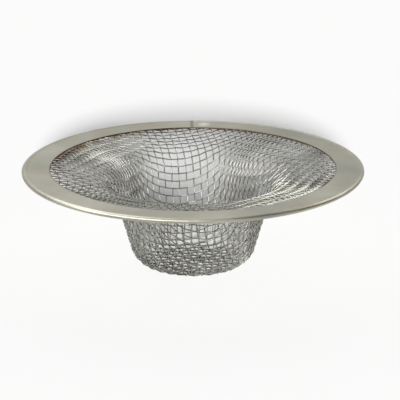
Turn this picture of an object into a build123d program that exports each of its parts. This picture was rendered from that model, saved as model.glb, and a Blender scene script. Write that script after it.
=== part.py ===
"""Bathtub drain strainer: a folded steel rim that clamps a basket drawn from one piece of woven wire cloth.

Millimetres, +Z up. The origin is the middle of the basket's underside, and the axis of the basket is +Z.
The rim's top is at z = overall_height, and the basket hangs from it.
"""

from build123d import *
from functools import cache
from itertools import product
from math import atan2, ceil, cos, floor, hypot, pi, radians, sin, sqrt, tan
import os

# Driving dimensions
rim_diameter = 70.0
rim_face_width = 5.8
rim_underside_width = 3.2
sheet_thickness = 0.25
wire_diameter = 0.25
wires_per_inch = 16
overall_height = 20.8

# The basket's section, on the cloth's middle surface
base_corner_diameter = 23.4
base_fillet = 4.6
wall_draft_deg = 15.9
shoulder_fillet = 6.7
dish_slope_deg = 8.65
dish_start_gap = 0.6

# How the cloth lies: its wires are turned from the seam by this angle, seen from above
weave_turn_deg = 7.0

# The rim's small features
bead_flats = 6
slot_flats = 2
seam_width = 0.3
seam_depth = 0.1

# The cloth's net: each ridge stands for this many wires, and dips where it goes under another
wires_per_ridge = 4
dip_share = 0.12
dip_lift = 0.05
gap_edge_lift = 0.05
gap_reach = 43.5
gap_overlap = 0.5
edge_margin = 1.0

# Sizes that follow from them
rim_radius = rim_diameter / 2
opening_radius = rim_radius - rim_face_width
leaf_radius = rim_radius - rim_underside_width
half_cloth = wire_diameter
bead_radius = half_cloth + sheet_thickness
cloth_radius = rim_radius - bead_radius
cloth_level = overall_height - bead_radius
rim_base = cloth_level - bead_radius
ridge_pitch = wires_per_ridge * 25.4 / wires_per_inch
ridge_width = wires_per_ridge * wire_diameter
gap_share = 1 - ridge_width / ridge_pitch
base_radius = base_corner_diameter / 2 - base_fillet * tan(radians(90 - wall_draft_deg) / 2)


def mouth_corner():
    """Where the wall's line meets the dish's line, as (radius, height)."""
    draft = tan(radians(wall_draft_deg))
    slope = tan(radians(dish_slope_deg))
    start = opening_radius - dish_start_gap
    corner = base_corner_diameter / 2
    height = cloth_level - slope * (start - corner + half_cloth * draft)
    height /= 1 - slope * draft
    return corner + (height - half_cloth) * draft, height


def fold(radius, flats):
    """Points round the fold of the rim's sheet, from its upper leaf to its lower one."""
    turns = [pi * step / flats for step in range(flats + 1)]
    return [(cloth_radius + radius * sin(turn), cloth_level + radius * cos(turn)) for turn in turns]


def make_rim():
    """One strip of sheet folded round the cloth's edge, with a rolled outside and a butt seam at the back."""
    with BuildPart() as ring:
        with BuildSketch(Plane.XZ):
            with BuildLine():
                Polyline(
                    (opening_radius, overall_height - sheet_thickness),
                    (opening_radius, overall_height),
                    *fold(bead_radius, bead_flats),
                    (leaf_radius, rim_base),
                    (leaf_radius, rim_base + sheet_thickness),
                    *reversed(fold(half_cloth, slot_flats)),
                    close=True,
                )
            make_face()
        revolve(axis=Axis.Z)
        with BuildSketch(Plane.XY.offset(overall_height - seam_depth)):
            with Locations((0, (rim_radius + opening_radius) / 2)):
                Rectangle(seam_width, 2 * rim_face_width)
        extrude(amount=2 * seam_depth, mode=Mode.SUBTRACT)
    return ring


with BuildLine() as cloth_section:
    mouth_radius, mouth_height = mouth_corner()
    FilletPolyline(
        (0, half_cloth),
        (base_corner_diameter / 2, half_cloth),
        (mouth_radius, mouth_height),
        (opening_radius - dish_start_gap, cloth_level),
        (cloth_radius, cloth_level),
        radius=[base_fillet, shoulder_fillet, shoulder_fillet / 2],
    )

section_wire = cloth_section.wires()[0]
section_length = section_wire.length
gap_limit = section_length - (cloth_radius - leaf_radius) + gap_overlap


@cache
def section_at(length):
    """The section's radius and height at this length from the middle, and its unit normal, towards the inside."""
    share = min(length / section_length, 1)
    point = section_wire.position_at(share)
    along = section_wire.tangent_at(share)
    return point.X, point.Y, -along.Y, along.X


def bias_reach_table(step=0.25):
    """How much further than its own radius the cloth reaches on the bias, every step of its radius.

    Wires keep their spacing where they run straight out or straight round. Between, the cells close up sideways
    by as much as the cloth is too wide there, and grow longer, because their sides keep their length.
    """
    reach = [0.0]
    while len(reach) * step < section_length * 1.1:
        radius = len(reach) * step
        crowding = 4 * bias_swing(radius)
        width = section_at(radius + reach[-1])[0] / radius * (1 - crowding)
        reach.append(reach[-1] + step * (sqrt(2 - width**2) - 1))
    return reach, step


def bias_swing(radius):
    """How far the wires swing towards the bias at this radius of the flat cloth, in radians."""
    return (radius / section_at(min(radius, section_length))[0] - 1) / 4


reach_table, reach_step = bias_reach_table()


@cache
def cloth_place(across, along):
    """Where a point of the flat cloth lies once drawn, as (length along the section, angle about the axis)."""
    radius = hypot(across, along)
    if radius < reach_step:
        return radius, 0.0
    angle = atan2(along, across)
    place = min(radius / reach_step, len(reach_table) - 2)
    below = int(place)
    reach = reach_table[below] + (place - below) * (reach_table[below + 1] - reach_table[below])
    length = radius + reach * (1 - cos(4 * angle)) / 2
    return length, angle + bias_swing(radius) * sin(4 * angle)


def cloth_vertex(length, angle, lift):
    """A point of the drawn cloth, lifted off its middle surface towards the inside of the basket."""
    radius, height, normal_out, normal_up = section_at(length)
    radius += lift * normal_out
    angle += radians(weave_turn_deg)
    return Vector(radius * cos(angle), radius * sin(angle), height + lift * normal_up)


def facet(*corners):
    """One flat face of the cloth."""
    return Face(Wire.make_polygon(corners, close=True))


def between(start, end, share):
    """The point this share of the way from one point to another."""
    return tuple(a + share * (b - a) for a, b in zip(start, end))


def cell_middle(column, row):
    """The middle of a cell of the flat cloth."""
    return (column + 0.5) * ridge_pitch, (row + 0.5) * ridge_pitch


def ring_point(column, row, position):
    """The point of the ridges round a cell of the flat cloth at this position: 0 to 4 are its crossings, in turn."""
    turns = [(0, 0), (1, 0), (1, 1), (0, 1), (0, 0)]
    ridge = min(int(position), 3)
    right, up = between(turns[ridge], turns[ridge + 1], position - ridge)
    return (column + right) * ridge_pitch, (row + up) * ridge_pitch


def crest_lifts(column, row, side):
    """How far the crest of the ridges round a cell is lifted, by position, on one side of the cloth.

    A ridge goes over and under the others by turns, and dips beside each one that it goes under. What is over
    on the cloth's inside, which is side 1, is under on its outside, side -1.
    """
    starts_under = (column + row + (side < 0)) % 2 == 0
    lifts = {4: half_cloth}
    for ridge in range(4):
        lifts[ridge] = half_cloth
        lifts[ridge + 0.5] = half_cloth / 2
        lifts[ridge + (dip_share if starts_under else 1 - dip_share)] = dip_lift
    return lifts


def is_cloth(column, row):
    """Whether a cell is part of the cloth: its middle is inside the cloth's edge."""
    return cloth_place(*cell_middle(column, row))[0] < section_length


def is_on_edge(across, along):
    """Whether a point of the ridges borders a cell that isn't part of the cloth."""
    step = dip_share / 2
    beside = product((across / ridge_pitch - step, across / ridge_pitch + step),
                     (along / ridge_pitch - step, along / ridge_pitch + step))
    return not all(is_cloth(floor(column), floor(row)) for column, row in beside)


def crest(column, row, side):
    """The drawn crest line round a cell, by position, on one side of the cloth.

    The flat base stands on many wires, so there the ridges keep their full height on the outside.
    """
    line = {}
    for place, lift in crest_lifts(column, row, side).items():
        point = ring_point(column, row, place)
        length, angle = cloth_place(*point)
        length = section_length if is_on_edge(*point) else min(length, section_length - edge_margin)
        if side < 0 and length < base_radius:
            lift = half_cloth
        line[place] = cloth_vertex(length, angle, side * lift)
    return line


def gap_edge(column, row, side):
    """The drawn edge of a cell's gap, by position, on one side of the cloth."""
    line = {}
    for place in [half / 2 for half in range(9)]:
        point = between(cell_middle(column, row), ring_point(column, row, place), gap_share)
        length, angle = cloth_place(*point)
        line[place] = cloth_vertex(min(length, gap_limit), angle, side * gap_edge_lift)
    return line


def band(outer, inner):
    """The flat triangles between two lines of drawn points, each given by position."""
    outer, inner = sorted(outer.items()), sorted(inner.items())
    faces = []
    while len(outer) + len(inner) > 2:
        corners = [outer[0][1], inner[0][1]]
        if len(inner) == 1 or (len(outer) > 1 and outer[1][0] <= inner[1][0]):
            outer = outer[1:]
            faces.append(facet(*corners, outer[0][1]))
        else:
            inner = inner[1:]
            faces.append(facet(*corners, inner[0][1]))
    return faces


def has_gap(column, row):
    """Whether a cell is open: all but those that only just reach out from under the rim."""
    return cloth_place(*cell_middle(column, row))[0] < gap_reach


def open_cell(column, row):
    """A cell with a gap: both faces fall from the ridges round it to the walls of the gap."""
    upper, lower = gap_edge(column, row, 1), gap_edge(column, row, -1)
    return band(crest(column, row, 1), upper) + band(crest(column, row, -1), lower) + band(upper, lower)


def closed_cell(column, row):
    """A cell with no gap: both faces fall from the ridges round it to a hollow in its middle."""
    faces = []
    for side in (1, -1):
        line = crest(column, row, side)
        faces += band(line, {0: sum(line.values(), Vector()) / len(line)})
    return faces


def cut_edge(column, row, ridge):
    """The cut edge of the cloth along one ridge of a cell, inside the rim's fold."""
    upper, lower = [
        {place: point for place, point in crest(column, row, side).items() if ridge <= place <= ridge + 1}
        for side in (1, -1)
    ]
    return band(upper, lower)


def cloth_faces():
    """Every face of the woven cloth: a net of ridges in one wall, with the gaps between them."""
    reach = ceil(section_length / ridge_pitch)
    cells = [cell for cell in product(range(-reach, reach), repeat=2) if is_cloth(*cell)]
    faces = []
    for column, row in cells:
        faces += open_cell(column, row) if has_gap(column, row) else closed_cell(column, row)
        neighbours = [(column, row - 1), (column + 1, row), (column, row + 1), (column - 1, row)]
        for ridge, neighbour in enumerate(neighbours):
            if neighbour not in cells:
                faces += cut_edge(column, row, ridge)
    return faces


os.makedirs("parts", exist_ok=True)

rim_ring = make_rim()
with BuildPart() as mesh_basket:
    add(Solid(Shell(cloth_faces())))

rim_ring.part.label = "rim_ring"
export_step(rim_ring.part, "parts/rim_ring.step")
mesh_basket.part.label = "mesh_basket"
export_step(mesh_basket.part, "parts/mesh_basket.step")
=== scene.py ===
"""Looks of the bathtub drain strainer: its basket of woven wires, its folded steel rim, and the studio."""

from math import cos, pi, radians, sin, sqrt, tan

import bpy
import numpy as np
from mathutils import Matrix, Vector


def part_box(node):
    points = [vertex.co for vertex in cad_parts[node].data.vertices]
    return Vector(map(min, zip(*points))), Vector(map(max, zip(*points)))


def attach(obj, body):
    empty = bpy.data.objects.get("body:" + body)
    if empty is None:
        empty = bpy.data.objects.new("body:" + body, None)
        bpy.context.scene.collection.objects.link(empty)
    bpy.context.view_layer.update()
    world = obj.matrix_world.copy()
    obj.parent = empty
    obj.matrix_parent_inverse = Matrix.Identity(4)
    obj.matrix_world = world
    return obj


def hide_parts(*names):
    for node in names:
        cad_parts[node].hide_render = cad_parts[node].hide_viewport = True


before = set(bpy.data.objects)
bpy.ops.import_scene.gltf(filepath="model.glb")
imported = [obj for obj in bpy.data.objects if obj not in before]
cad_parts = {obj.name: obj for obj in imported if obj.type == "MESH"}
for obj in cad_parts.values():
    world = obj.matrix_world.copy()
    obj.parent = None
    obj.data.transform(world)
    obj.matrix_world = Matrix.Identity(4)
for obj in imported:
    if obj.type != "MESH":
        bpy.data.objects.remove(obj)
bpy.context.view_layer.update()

MM = 0.001

# The rim, in metres
rim_low, rim_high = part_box("rim_ring")
RIM_RADIUS = rim_high.x
RIM_TOP = rim_high.z
RIM_THICKNESS = rim_high.z - rim_low.z
RIM_FACE_WIDTH = 5.8 * MM
RIM_UNDERSIDE_WIDTH = 3.2 * MM
SHEET_THICKNESS = 0.25 * MM
BEAD_RADIUS = RIM_THICKNESS / 2
OPENING_RADIUS = RIM_RADIUS - RIM_FACE_WIDTH
CLOTH_LEVEL = RIM_TOP - BEAD_RADIUS
CLOTH_RADIUS = RIM_RADIUS - BEAD_RADIUS
BEAD_WIDTH = 0.9 * MM
BEAD_STAND = 0.06 * MM
BEAD_STEP = 0.25 * MM
SEAM_WIDTH = 0.04 * MM
# Waves of the bent strip: how many there are round the rim, and how deep they are
RIM_WAVES = [(2, 0.03 * MM), (3, 0.025 * MM), (5, 0.012 * MM), (8, 0.006 * MM), (13, 0.003 * MM)]
# How many points the strip has round the rim, and how many each stretch of its section has
RIM_STEPS = 361
LIP_POINTS = 7
LEAF_POINTS = 14
STEP_POINTS = 7
BEAD_POINTS = 13
FOLD_POINTS = 10
SLOT_POINTS = 9

# The basket's section, on the cloth's middle surface
BASE_CORNER_RADIUS = 11.7 * MM
BASE_FILLET = 4.6 * MM
WALL_DRAFT = radians(15.9)
SHOULDER_FILLET = 6.7 * MM
DISH_SLOPE = radians(8.65)
DISH_START_RADIUS = OPENING_RADIUS - 0.6 * MM
SECTION_STEP = 0.05 * MM
FILLET_POINTS = 60

# The woven cloth
WIRE_DIAMETER = 0.25 * MM
WIRE_PITCH = 25.4 * MM / 16
WEAVE_TURN = radians(10.9)
WIRE_END_RADIUS = 32.3 * MM
SAMPLES_PER_PITCH = 6
WIRE_SIDES = 7
FEWEST_SAMPLES = 2 * SAMPLES_PER_PITCH
# How far wires stray from their places, in pitches, and how fast that changes from one crossing to the next
PITCH_JITTER = 0.012
JITTER_WAVES = (0.12, 0.3)
SEED = 7

# The fit that keeps the drawn wires from stretching
MODES = 6
HARMONICS = 2
FLAT_RADIUS_START = 0.05 * MM
FLAT_RADIUS_STEP = 0.25 * MM
FLAT_RADIUS_SPARE = 1.02
UNFITTED_EDGE = 4 * MM
SHEAR_WEIGHT = 0.05
FIT_ROUNDS = 8
FIT_NUDGE = 1e-4
FIT_DAMPING = 1e-3

# Bright wire, and its tarnish mixed with painted shade under the rim's inner edge on one side. A ramp has
# its stops, and a noise has its features a metre and its detail.
WIRE_COLOURS = [(0.3, (0.18, 0.178, 0.145)), (0.5, (0.31, 0.308, 0.275)), (0.7, (0.4, 0.4, 0.37))]
WIRE_PATCH_NOISE = (160, 5)
WIRE_MARK_NOISE = (2500, 2)
WIRE_ROUGHNESS = (0.1, 0.2)
WIRE_BUMP = (0.05, 0.01 * MM)
TARNISH_AND_SHADE_COLOUR = (0.1, 0.065, 0.035)
TARNISH_AND_SHADE_SIDE = (-0.7, 0.7, 0)
TARNISH_AND_SHADE_SIDE_REACH = (-5 * MM, 25 * MM)
TARNISH_AND_SHADE_BAND = (OPENING_RADIUS - 3 * MM, OPENING_RADIUS - 0.8 * MM)
TARNISH_AND_SHADE_NOISE = (300, 2)
TARNISH_AND_SHADE_LEVELS = (0.3, 0.5)

# Satin sheet, with its rolling marks, stains, dirt and painted shade at the inner edge, and a painted
# highlight by the seam. A blot has a centre, and its reach along each axis.
RIM_COLOURS = [(0.3, (0.3, 0.297, 0.25)), (0.5, (0.38, 0.37, 0.305)), (0.7, (0.47, 0.455, 0.385))]
RIM_PATCH_NOISE = (70, 5)
RIM_ROUGHNESS = (0.28, 0.42)
RIM_BUMP = (0.15, 0.02 * MM)
STAIN_COLOUR = (0.36, 0.29, 0.19)
STAIN_NOISE = (110, 3)
STAIN_LEVELS = (0.52, 0.72)
STAIN_GRAIN_NOISE = (600, 4)
STAIN_GRAIN_LEVELS = (0.2, 0.8)
MARK_COLOUR = (0.33, 0.34, 0.32)
MARK_NOISE = (1, 3)
MARK_LEVELS = (0.5, 0.9)
MARK_SHARE = 0.5
# Rolling marks are counted across the rim for each metre, and round it for the whole turn
MARKS_ACROSS = 5000
MARKS_ROUND = 40
# Dirt and painted shade along the rim's inner edge
EDGE_DIRT_AND_SHADE_BAND = (OPENING_RADIUS + 0.25 * MM, OPENING_RADIUS + 0.05 * MM)
BLOT_CORE = 0.2
SEAM_STAIN = ((-0.2 * MM, 32 * MM, RIM_TOP), (0.5 * MM, 5 * MM, 1 * MM))
SEAM_COLOUR = (0.22, 0.16, 0.07)
# A painted highlight beside the seam
SEAM_HIGHLIGHT = ((2.4 * MM, 31.6 * MM, RIM_TOP), (1.7 * MM, 2 * MM, 1 * MM))
SEAM_HIGHLIGHT_COLOUR = (0.75, 0.68, 0.64)

# The camera, found from the rim's outline in the photograph
CAMERA_ELEVATION = radians(16.896)
CAMERA_ROLL = radians(-0.09)
CAMERA_DISTANCE = 0.45
FOCAL_PIXELS = 2198.4
PHOTO_PIXELS = 400
RIM_CENTRE_PIXEL = (193.03, 165.88)
SENSOR_WIDTH = 36.0
CLIP_START = 0.01
CLIP_END = 10

# The studio. The world's stops run from behind the camera, at 0, to behind the object, at 1.
FLOOR_REACH = 2.0
FLOOR_COLOUR = 0.8
FLOOR_LAMP_ELEVATION = radians(14.8)
FLOOR_LAMP_ANGLE = radians(6)
FLOOR_LAMP_POWER = 12.4
SOFT_BOX_DISTANCE = 0.5
# Each soft box has its direction from the object, its width and height, and its power
SOFT_BOXES = {
    "key_light": ((-0.52, -0.62, 0.59), (0.72, 0.22), 3.0),
    "high_light": ((-0.47, -0.27, 0.84), (0.64, 0.15), 1.0),
    "left_light": ((-0.81, 0, 0.59), (0.28, 0.21), 0.35),
    "right_light": ((0.61, -0.61, 0.5), (0.5, 0.14), 0.45),
    "back_light": ((-0.31, 0.53, 0.79), (0.3, 0.26), 0.7),
    "far_light": ((0.51, 0.6, 0.62), (0.28, 0.18), 0.3),
    "top_light": ((0, -0.2, 0.98), (0.21, 0.21), 0.25),
}
WORLD_STOPS = [(0.1, (0.04, 0.04, 0.04)), (0.6, (0.1, 0.1, 0.1)), (0.95, (0.75, 0.75, 0.73))]


# Where the cloth lies


def filleted(corners, radii):
    """Closely spaced points along the lines between corners, rounded at each inner corner."""
    corners = [np.array(corner, float) for corner in corners]
    points = [corners[0]]
    for before, corner, after, radius in zip(corners, corners[1:], corners[2:], radii):
        inward = (before - corner) / np.linalg.norm(before - corner)
        outward = (after - corner) / np.linalg.norm(after - corner)
        half_turn = np.arccos(np.clip(inward @ outward, -1, 1)) / 2
        bisector = (inward + outward) / np.linalg.norm(inward + outward)
        centre = corner + bisector * radius / np.sin(half_turn)
        setback = radius / np.tan(half_turn)
        start = corner + inward * setback - centre
        end = corner + outward * setback - centre
        sweep = pi - 2 * half_turn
        for share in np.linspace(0, 1, FILLET_POINTS):
            turned = np.sin((1 - share) * sweep) * start + np.sin(share * sweep) * end
            points.append(centre + turned / np.sin(sweep))
    points.append(corners[-1])
    return np.array(points)


def cloth_section():
    """The section of the cloth's middle surface: length from the middle, radius, height and normal."""
    half_cloth = WIRE_DIAMETER
    draft, slope = tan(WALL_DRAFT), tan(DISH_SLOPE)
    dish_run = DISH_START_RADIUS - BASE_CORNER_RADIUS + half_cloth * draft
    mouth_height = (CLOTH_LEVEL - slope * dish_run) / (1 - slope * draft)
    mouth_radius = BASE_CORNER_RADIUS + (mouth_height - half_cloth) * draft
    corners = [
        (0, half_cloth),
        (BASE_CORNER_RADIUS, half_cloth),
        (mouth_radius, mouth_height),
        (DISH_START_RADIUS, CLOTH_LEVEL),
        (CLOTH_RADIUS, CLOTH_LEVEL),
    ]
    points = filleted(corners, [BASE_FILLET, SHOULDER_FILLET, SHOULDER_FILLET / 2])
    lengths = np.concatenate([[0], np.cumsum(np.linalg.norm(np.diff(points, axis=0), axis=1))])
    even = np.arange(0, lengths[-1], SECTION_STEP)
    radius = np.interp(even, lengths, points[:, 0])
    height = np.interp(even, lengths, points[:, 1])
    return {
        "length": even,
        "radius": radius,
        "height": height,
        "out": -np.gradient(height, even),
        "up": np.gradient(radius, even),
    }


SECTION = cloth_section()
SECTION_LENGTH = SECTION["length"][-1]
OUTERMOST_WIRE = int(SECTION_LENGTH / WIRE_PITCH) + 2


def on_section(length, what):
    """One column of the section at these lengths from the middle."""
    return np.interp(length, SECTION["length"], SECTION[what])


def closed_form_drape(radius):
    """How far the cloth swings and reaches on the bias, by its flat radius, with no wire stretched much."""
    step = np.diff(radius, prepend=0)
    swing = (radius / on_section(radius, "radius") - 1) / 4
    reach = np.zeros_like(radius)
    for index in range(1, len(radius)):
        width = on_section(radius[index] + reach[index - 1], "radius") / radius[index]
        width *= 1 - 4 * swing[index]
        reach[index] = reach[index - 1] + step[index] * (sqrt(max(2 - width**2, 0)) - 1)
    return swing, reach


FLAT_RADII = np.arange(FLAT_RADIUS_START, SECTION_LENGTH * FLAT_RADIUS_SPARE, FLAT_RADIUS_STEP)
SWING, REACH = closed_form_drape(FLAT_RADII)


def correction(radius, weights):
    """A smooth change to the closed form, with one weight a mode."""
    share = radius / SECTION_LENGTH
    return share**2 * sum(weight * np.cos(pi * mode * share) for mode, weight in enumerate(weights))


def drape(across, along, weights):
    """Where points of the flat cloth lie once drawn: length along the section, and angle about the axis."""
    radius, angle = np.hypot(across, along), np.arctan2(along, across)
    length = radius + np.interp(radius, FLAT_RADII, REACH) * (1 - np.cos(4 * angle)) / 2
    turned = angle + np.interp(radius, FLAT_RADII, SWING) * np.sin(4 * angle)
    for harmonic in range(HARMONICS):
        swing_weights, reach_weights = weights[harmonic]
        beat = 4 * (harmonic + 1) * angle
        turned = turned + correction(radius, swing_weights) * np.sin(beat)
        length = length + correction(radius, reach_weights) * SECTION_LENGTH * (1 - np.cos(beat)) / 2
    return np.clip(length, 0, SECTION_LENGTH), turned


def drawn(across, along, lift, weights):
    """Points of the drawn cloth, lifted off its middle surface towards the inside of the basket."""
    length, angle = drape(across, along, weights)
    radius = on_section(length, "radius") + lift * on_section(length, "out")
    height = on_section(length, "height") + lift * on_section(length, "up")
    angle = angle + WEAVE_TURN
    return np.stack([radius * np.cos(angle), radius * np.sin(angle), height], axis=-1)


def fit_drape():
    """Weights at which the wires between crossings keep their length best, by least squares."""
    reach = int(SECTION_LENGTH / WIRE_PITCH)
    grid = np.arange(-reach, reach + 1) * WIRE_PITCH
    across, along = np.meshgrid(grid, grid, indexing="ij")

    def misfit(values):
        """How much wires stretch between crossings, and a small share of how much the cells shear."""
        weights = values.reshape(HARMONICS, 2, MODES)
        points = drawn(across, along, 0, weights)
        kept = drape(across, along, weights)[0] < SECTION_LENGTH - UNFITTED_EDGE
        one_way = np.linalg.norm(points[1:] - points[:-1], axis=-1) / WIRE_PITCH - 1
        other_way = np.linalg.norm(points[:, 1:] - points[:, :-1], axis=-1) / WIRE_PITCH - 1
        rising = np.linalg.norm(points[1:, 1:] - points[:-1, :-1], axis=-1) / WIRE_PITCH
        falling = np.linalg.norm(points[1:, :-1] - points[:-1, 1:], axis=-1) / WIRE_PITCH
        return np.concatenate(
            [
                (one_way * (kept[1:] & kept[:-1])).ravel(),
                (other_way * (kept[:, 1:] & kept[:, :-1])).ravel(),
                (SHEAR_WEIGHT * (rising - falling) * (kept[1:, 1:] & kept[:-1, :-1])).ravel(),
            ]
        )

    values = np.zeros(HARMONICS * 2 * MODES)
    units = np.eye(len(values))
    for _ in range(FIT_ROUNDS):
        start = misfit(values)
        slopes = [(misfit(values + FIT_NUDGE * unit) - start) / FIT_NUDGE for unit in units]
        slopes = np.stack(slopes, axis=1)
        values = values - np.linalg.solve(slopes.T @ slopes + FIT_DAMPING * units, slopes.T @ start)
    return values.reshape(HARMONICS, 2, MODES)


# Wires


def ring_faces(first, rings, corners):
    """The quads between rings of vertices in turn, from the first vertex on, and the two end caps."""
    ring = first + np.arange(rings)[:, None] * corners + np.arange(corners)[None, :]
    turned = np.roll(ring, -1, axis=1)
    quads = np.stack([ring[:-1], turned[:-1], turned[1:], ring[1:]], axis=-1).reshape(-1, 4)
    return quads.tolist(), [ring[0][::-1].tolist(), ring[-1].tolist()]


def smooth_piece(name, vertices, faces):
    """A new smooth-shaded object of these vertices and faces, in the scene."""
    mesh = bpy.data.meshes.new(name)
    mesh.from_pydata(vertices.tolist(), [], faces)
    mesh.shade_smooth()
    piece = bpy.data.objects.new(name, mesh)
    bpy.context.scene.collection.objects.link(piece)
    return piece


def tubes(name, runs):
    """One piece of closed round tubes, one along each run of points with their surface normals."""
    corner_angles = np.arange(WIRE_SIDES) * 2 * pi / WIRE_SIDES
    vertices, quads, caps = [], [], []
    first = 0
    for points, normals in runs:
        tangents = np.gradient(points, axis=0)
        tangents /= np.linalg.norm(tangents, axis=1, keepdims=True)
        sides = np.cross(tangents, normals)
        sides /= np.linalg.norm(sides, axis=1, keepdims=True)
        ups = np.cross(sides, tangents)
        spokes = (
            np.cos(corner_angles)[None, :, None] * ups[:, None, :]
            + np.sin(corner_angles)[None, :, None] * sides[:, None, :]
        )
        vertices.append((points[:, None, :] + WIRE_DIAMETER / 2 * spokes).reshape(-1, 3))
        run_quads, run_caps = ring_faces(first, len(points), WIRE_SIDES)
        quads += run_quads
        caps += run_caps
        first += len(points) * WIRE_SIDES
    return smooth_piece(name, np.concatenate(vertices), quads + caps)


def wire_run(number, runs_along, weights, dice):
    """The points and surface normals of one wire, over and under the others. None if the wire is short."""
    reach = OUTERMOST_WIRE * SAMPLES_PER_PITCH
    steps = np.arange(-reach, reach + 1) / SAMPLES_PER_PITCH
    own = number + PITCH_JITTER * dice.standard_normal()
    waves = dice.uniform(*JITTER_WAVES, 2)
    own = own + PITCH_JITTER * (np.sin(steps * waves[0]) + np.sin(steps * waves[1] + number))
    own, steps_metres = own * WIRE_PITCH, steps * WIRE_PITCH
    side = -1 if runs_along else 1
    zigzag = 1 - 2 / pi * np.arccos(np.cos(pi * (steps + number)))
    lift = side * WIRE_DIAMETER / 2 * zigzag
    across, along = (own, steps_metres) if runs_along else (steps_metres, own)
    length, _ = drape(across, along, weights)
    inside = on_section(length, "radius") < WIRE_END_RADIUS
    inside &= np.hypot(across, along) < SECTION_LENGTH
    if inside.sum() < FEWEST_SAMPLES:
        return None
    points = drawn(across, along, lift, weights)[inside]
    normals = points - drawn(across, along, lift - WIRE_DIAMETER, weights)[inside]
    return points, normals


def make_wires(name, runs_along, weights):
    """All the wires of the cloth that run one way."""
    dice = np.random.default_rng(SEED + runs_along)
    numbers = range(-OUTERMOST_WIRE, OUTERMOST_WIRE + 1)
    runs = [wire_run(number, runs_along, weights, dice) for number in numbers]
    wires = tubes(name, [run for run in runs if run is not None])
    wires.data.materials.append(wire_steel())
    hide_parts("mesh_basket")
    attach(wires, "root")
    return wires


# Materials


def new_material(name):
    """An empty node material, with its output and Principled shader."""
    material = bpy.data.materials.new(name)
    material.use_nodes = True
    nodes, links = material.node_tree.nodes, material.node_tree.links
    shader = next(node for node in nodes if node.type == "BSDF_PRINCIPLED")
    return material, nodes, links, shader


def colour_ramp(nodes, stops):
    """A colour ramp with these (place, colour) stops."""
    ramp = nodes.new("ShaderNodeValToRGB")
    elements = ramp.color_ramp.elements
    while len(elements) < len(stops):
        elements.new(0.5)
    for element, (place, colour) in zip(elements, stops):
        element.position = place
        element.color = (*colour, 1)
    return ramp


def noise(nodes, links, place, scale, detail):
    """Noise from 0 to 1, with this many features in each unit of the place, and this much detail."""
    texture = nodes.new("ShaderNodeTexNoise")
    texture.inputs["Scale"].default_value = scale
    texture.inputs["Detail"].default_value = detail
    links.new(place, texture.inputs["Vector"])
    return texture.outputs["Fac"]


def fade(nodes, links, value, start, end, low=0.0, high=1.0):
    """A value that goes evenly from low to high as the given one goes from start to end, and no further."""
    change = nodes.new("ShaderNodeMapRange")
    change.inputs["From Min"].default_value, change.inputs["From Max"].default_value = start, end
    change.inputs["To Min"].default_value, change.inputs["To Max"].default_value = low, high
    links.new(value, change.inputs["Value"])
    return change.outputs["Result"]


def vector_step(nodes, links, operation, place, other):
    """One step of vector arithmetic with a fixed vector. A length comes out as a number."""
    step = nodes.new("ShaderNodeVectorMath")
    step.operation = operation
    links.new(place, step.inputs[0])
    step.inputs[1].default_value = other
    return step.outputs["Value" if operation in ("LENGTH", "DOT_PRODUCT") else "Vector"]


def axis_distance(nodes, links, place):
    """The distance from the strainer's axis."""
    level = vector_step(nodes, links, "MULTIPLY", place, (1, 1, 0))
    return vector_step(nodes, links, "LENGTH", level, (0, 0, 0))


def blot(nodes, links, place, centre, reach):
    """A soft blot about a centre, with its own reach along each axis: 1 in its middle and 0 outside."""
    beside = vector_step(nodes, links, "SUBTRACT", place, centre)
    share = vector_step(nodes, links, "DIVIDE", beside, reach)
    return fade(nodes, links, vector_step(nodes, links, "LENGTH", share, (0, 0, 0)), 1, BLOT_CORE)


def product(nodes, links, first, second):
    """Two values, multiplied."""
    times = nodes.new("ShaderNodeMath")
    times.operation = "MULTIPLY"
    links.new(first, times.inputs[0])
    links.new(second, times.inputs[1])
    return times.outputs["Value"]


def tinted(nodes, links, colour, share, tint):
    """A colour with its share of a fixed tint."""
    mix = nodes.new("ShaderNodeMix")
    mix.data_type = "RGBA"
    links.new(share, mix.inputs["Factor"])
    links.new(colour, mix.inputs["A"])
    mix.inputs["B"].default_value = (*tint, 1)
    return mix.outputs["Result"]


def bumped(nodes, links, shader, height, strength, distance):
    """Gives the shader a bump of this height."""
    bump = nodes.new("ShaderNodeBump")
    bump.inputs["Strength"].default_value = strength
    bump.inputs["Distance"].default_value = distance
    links.new(height, bump.inputs["Height"])
    links.new(bump.outputs["Normal"], shader.inputs["Normal"])


def wire_steel():
    """Bright drawn stainless wire with fine marks, and brown tarnish with painted shade under one side of
    the rim.
    """
    material, nodes, links, shader = new_material("wire_steel")
    shader.inputs["Metallic"].default_value = 1
    place = nodes.new("ShaderNodeTexCoord").outputs["Object"]
    patches = noise(nodes, links, place, *WIRE_PATCH_NOISE)
    ramp = colour_ramp(nodes, WIRE_COLOURS)
    links.new(patches, ramp.inputs["Fac"])
    # Tarnish and painted shade: a brown band on the wires under the rim's inner edge, on one side
    by_rim = fade(nodes, links, axis_distance(nodes, links, place), *TARNISH_AND_SHADE_BAND)
    side = vector_step(nodes, links, "DOT_PRODUCT", place, TARNISH_AND_SHADE_SIDE)
    on_side = fade(nodes, links, side, *TARNISH_AND_SHADE_SIDE_REACH)
    spread = fade(nodes, links, noise(nodes, links, place, *TARNISH_AND_SHADE_NOISE), *TARNISH_AND_SHADE_LEVELS)
    tarnish_and_shade = product(nodes, links, product(nodes, links, by_rim, on_side), spread)
    colour = tinted(nodes, links, ramp.outputs["Color"], tarnish_and_shade, TARNISH_AND_SHADE_COLOUR)
    links.new(colour, shader.inputs["Base Color"])
    marks = noise(nodes, links, place, *WIRE_MARK_NOISE)
    links.new(fade(nodes, links, marks, 0, 1, *WIRE_ROUGHNESS), shader.inputs["Roughness"])
    bumped(nodes, links, shader, marks, *WIRE_BUMP)
    return material


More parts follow.
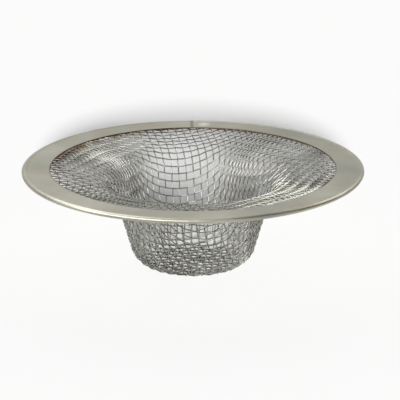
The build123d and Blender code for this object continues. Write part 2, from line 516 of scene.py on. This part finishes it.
def along_rim(nodes, links, place):
    """Coordinates that follow the rim: its radius in many steps, and the way round it in few."""
    axes = nodes.new("ShaderNodeSeparateXYZ")
    links.new(vector_step(nodes, links, "MULTIPLY", place, (1, -1, 1)), axes.inputs["Vector"])
    turn = nodes.new("ShaderNodeMath")
    turn.operation = "ARCTAN2"
    links.new(axes.outputs["X"], turn.inputs[0])
    links.new(axes.outputs["Y"], turn.inputs[1])
    both = nodes.new("ShaderNodeCombineXYZ")
    across = fade(nodes, links, axis_distance(nodes, links, place), 0, 1, 0, MARKS_ACROSS)
    links.new(across, both.inputs["X"])
    links.new(fade(nodes, links, turn.outputs["Value"], -pi, pi, 0, MARKS_ROUND), both.inputs["Y"])
    return both.outputs["Vector"]


def rim_steel():
    """Satin stainless sheet: marks that follow the rim, soft patches, dirt and painted shade at the inner
    edge, a stain at the seam and a painted highlight beside it.
    """
    material, nodes, links, shader = new_material("rim_steel")
    shader.inputs["Metallic"].default_value = 1
    place = nodes.new("ShaderNodeTexCoord").outputs["Object"]
    ramp = colour_ramp(nodes, RIM_COLOURS)
    links.new(noise(nodes, links, place, *RIM_PATCH_NOISE), ramp.inputs["Fac"])
    stains = fade(nodes, links, noise(nodes, links, place, *STAIN_NOISE), *STAIN_LEVELS)
    grain = fade(nodes, links, noise(nodes, links, place, *STAIN_GRAIN_NOISE), *STAIN_GRAIN_LEVELS)
    stains = product(nodes, links, stains, grain)
    colour = tinted(nodes, links, ramp.outputs["Color"], stains, STAIN_COLOUR)
    marks = noise(nodes, links, along_rim(nodes, links, place), *MARK_NOISE)
    marked = fade(nodes, links, marks, *MARK_LEVELS, 0, MARK_SHARE)
    colour = tinted(nodes, links, colour, marked, MARK_COLOUR)
    # Dirt and painted shade darken the rim's inner edge
    edge_dirt_and_shade = fade(nodes, links, axis_distance(nodes, links, place), *EDGE_DIRT_AND_SHADE_BAND)
    colour = tinted(nodes, links, colour, edge_dirt_and_shade, TARNISH_AND_SHADE_COLOUR)
    # A painted highlight beside the seam
    colour = tinted(nodes, links, colour, blot(nodes, links, place, *SEAM_HIGHLIGHT), SEAM_HIGHLIGHT_COLOUR)
    colour = tinted(nodes, links, colour, blot(nodes, links, place, *SEAM_STAIN), SEAM_COLOUR)
    links.new(colour, shader.inputs["Base Color"])
    links.new(fade(nodes, links, marks, 0, 1, *RIM_ROUGHNESS), shader.inputs["Roughness"])
    bumped(nodes, links, shader, marks, *RIM_BUMP)
    return material


# The rim


def rim_profile():
    """The folded sheet's outline in one section, as a closed line of (radius, height)."""
    lip = SHEET_THICKNESS / 2
    slot_radius = BEAD_RADIUS - SHEET_THICKNESS
    leaf_edge = RIM_RADIUS - RIM_UNDERSIDE_WIDTH
    low, high = CLOTH_LEVEL - BEAD_RADIUS, CLOTH_LEVEL + BEAD_RADIUS
    leaf_level = high - BEAD_STAND
    crest = RIM_RADIUS - BEAD_WIDTH

    def curve(centre, reach_out, reach_up, start, end, count):
        """Part of an ellipse about the cloth's level, by its angle from straight up."""
        turns = np.linspace(start, end, count)
        radii = centre + reach_out * np.sin(turns)
        return np.stack([radii, CLOTH_LEVEL + reach_up * np.cos(turns)], axis=1)

    def rounded_lip(edge, height):
        """The sheet's rounded inner edge, upwards."""
        turns = np.linspace(0, pi, LIP_POINTS)
        return np.stack([edge + lip - lip * np.sin(turns), height - lip * np.cos(turns)], axis=1)

    def leaf(inner, outer, height):
        """A level stretch of sheet, without its two ends."""
        radii = np.linspace(inner, outer, LEAF_POINTS)[1:-1]
        return np.stack([radii, np.full_like(radii, height)], axis=1)

    def step_up():
        """The soft step from the rim's face up to the bead."""
        shares = np.linspace(0, 1, STEP_POINTS)[:-1]
        radii = crest - BEAD_STEP * (1 - shares)
        return np.stack([radii, high - BEAD_STAND * (1 + np.cos(pi * shares)) / 2], axis=1)

    return np.concatenate(
        [
            rounded_lip(OPENING_RADIUS, leaf_level - lip),
            leaf(OPENING_RADIUS + lip, crest - BEAD_STEP, leaf_level),
            step_up(),
            curve(crest, BEAD_WIDTH, BEAD_RADIUS, 0, pi / 2, BEAD_POINTS),
            curve(CLOTH_RADIUS, BEAD_RADIUS, BEAD_RADIUS, pi / 2, pi, FOLD_POINTS)[1:],
            leaf(leaf_edge + lip, CLOTH_RADIUS, low)[::-1],
            rounded_lip(leaf_edge, low + lip),
            leaf(leaf_edge + lip, CLOTH_RADIUS, low + SHEET_THICKNESS),
            curve(CLOTH_RADIUS, slot_radius, slot_radius, pi, 0, SLOT_POINTS),
            leaf(OPENING_RADIUS + lip, CLOTH_RADIUS, leaf_level - SHEET_THICKNESS)[::-1],
        ]
    )


def rim_sag(radius, angle, dice):
    """How far the bent strip lies below its true height: small waves that fade out towards the bead."""
    inward = np.clip((CLOTH_RADIUS - radius) / (CLOTH_RADIUS - OPENING_RADIUS), 0, 1)
    waves = sum(
        depth * (1 + np.sin(count * angle + dice.uniform(0, 2 * pi)))
        for count, depth in RIM_WAVES
    )
    return inward * waves


def make_rim():
    """The rim as one bent strip, whose two ends butt together at the back."""
    dice = np.random.default_rng(SEED)
    profile = rim_profile()
    half_slit = SEAM_WIDTH / 2 / RIM_RADIUS
    angles = np.linspace(pi / 2 + half_slit, 5 * pi / 2 - half_slit, RIM_STEPS)[:, None]
    radius, height = profile[None, :, 0], profile[None, :, 1]
    sag = rim_sag(radius, angles, dice)
    vertices = np.stack([radius * np.cos(angles), radius * np.sin(angles), height - sag], axis=-1)
    quads, caps = ring_faces(0, RIM_STEPS, len(profile))
    strip = smooth_piece("rim_strip", vertices.reshape(-1, 3), quads + caps)
    strip.data.materials.append(rim_steel())
    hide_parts("rim_ring")
    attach(strip, "root")
    return strip


# Studio


def make_camera():
    """The photograph's camera, placed by the rim's outline and turned to frame the rim as it did."""
    camera = bpy.data.objects.new("camera", bpy.data.cameras.new("camera"))
    bpy.context.scene.collection.objects.link(camera)
    bpy.context.scene.camera = camera
    camera.data.sensor_width = SENSOR_WIDTH
    camera.data.lens = FOCAL_PIXELS / PHOTO_PIXELS * SENSOR_WIDTH
    centre = Vector((0, 0, RIM_TOP))
    back = Vector((0, -cos(CAMERA_ELEVATION), sin(CAMERA_ELEVATION)))
    right = Vector((1, 0, 0))
    up = right.cross(-back)
    camera.location = centre + CAMERA_DISTANCE * back
    middle = PHOTO_PIXELS / 2
    aim = -back + right * (middle - RIM_CENTRE_PIXEL[0]) / FOCAL_PIXELS
    aim -= up * (middle - RIM_CENTRE_PIXEL[1]) / FOCAL_PIXELS
    turn = aim.to_track_quat("-Z", "Y").to_matrix() @ Matrix.Rotation(CAMERA_ROLL, 3, "Z")
    camera.rotation_euler = turn.to_euler()
    camera.data.clip_start = CLIP_START
    camera.data.clip_end = CLIP_END


def lit_only(name, pieces):
    """The pieces that one lamp lights, as a collection. Everything still casts its shadow on them."""
    lit = bpy.data.collections.new(name)
    for piece in pieces:
        lit.objects.link(piece)
    return lit


def soft_box(name, direction, size, power, metal):
    """A soft box, this wide and high, that faces the object from this direction and lights its metal."""
    lamp = bpy.data.lights.new(name, "AREA")
    lamp.shape = "RECTANGLE"
    lamp.size, lamp.size_y = size
    lamp.energy = power
    stand = bpy.data.objects.new(name, lamp)
    bpy.context.scene.collection.objects.link(stand)
    direction = Vector(direction).normalized()
    stand.location = Vector((0, 0, RIM_TOP / 2)) + direction * SOFT_BOX_DISTANCE
    stand.rotation_euler = (-direction).to_track_quat("-Z", "Y").to_euler()
    stand.light_linking.receiver_collection = metal


def floor_lamp(floor):
    """A distant lamp, low in front, that lights the floor alone. The strainer's shadow falls behind it."""
    lamp = bpy.data.lights.new("floor_lamp", "SUN")
    lamp.angle = FLOOR_LAMP_ANGLE
    lamp.energy = FLOOR_LAMP_POWER
    stand = bpy.data.objects.new("floor_lamp", lamp)
    bpy.context.scene.collection.objects.link(stand)
    from_there = Vector((0, -cos(FLOOR_LAMP_ELEVATION), sin(FLOOR_LAMP_ELEVATION)))
    stand.rotation_euler = (-from_there).to_track_quat("-Z", "Y").to_euler()
    stand.light_linking.receiver_collection = lit_only("lit_by_floor_lamp", [floor])


def make_world():
    """A studio that is dim behind the camera and pale behind the object."""
    world = bpy.data.worlds.new("studio")
    bpy.context.scene.world = world
    world.use_nodes = True
    nodes, links = world.node_tree.nodes, world.node_tree.links
    nodes.clear()
    output = nodes.new("ShaderNodeOutputWorld")
    background = nodes.new("ShaderNodeBackground")
    coordinates = nodes.new("ShaderNodeTexCoord")
    axes = nodes.new("ShaderNodeSeparateXYZ")
    links.new(coordinates.outputs["Generated"], axes.inputs["Vector"])
    ramp = colour_ramp(nodes, WORLD_STOPS)
    links.new(fade(nodes, links, axes.outputs["Y"], -1, 1), ramp.inputs["Fac"])
    links.new(ramp.outputs["Color"], background.inputs["Color"])
    links.new(background.outputs["Background"], output.inputs["Surface"])


def make_floor():
    """A plain pale floor that keeps the object's shadow."""
    corners = [(x * FLOOR_REACH, y * FLOOR_REACH, 0) for x, y in ((-1, -1), (1, -1), (1, 1), (-1, 1))]
    mesh = bpy.data.meshes.new("floor")
    mesh.from_pydata(corners, [], [(0, 1, 2, 3)])
    floor = bpy.data.objects.new("floor", mesh)
    bpy.context.scene.collection.objects.link(floor)
    material = bpy.data.materials.new("floor")
    material.use_nodes = True
    nodes, links = material.node_tree.nodes, material.node_tree.links
    nodes.clear()
    output = nodes.new("ShaderNodeOutputMaterial")
    paper = nodes.new("ShaderNodeBsdfDiffuse")
    paper.inputs["Color"].default_value = (FLOOR_COLOUR, FLOOR_COLOUR, FLOOR_COLOUR, 1)
    links.new(paper.outputs["BSDF"], output.inputs["Surface"])
    floor.data.materials.append(material)
    return floor


make_camera()
weights = fit_drape()
pieces = [
    make_wires("warp_wires", True, weights),
    make_wires("weft_wires", False, weights),
    make_rim(),
]
make_world()
floor_lamp(make_floor())
metal = lit_only("lit_by_soft_boxes", pieces)
for name, (direction, size, power) in SOFT_BOXES.items():
    soft_box(name, direction, size, power, metal)
bpy.context.scene.view_settings.view_transform = "Standard"
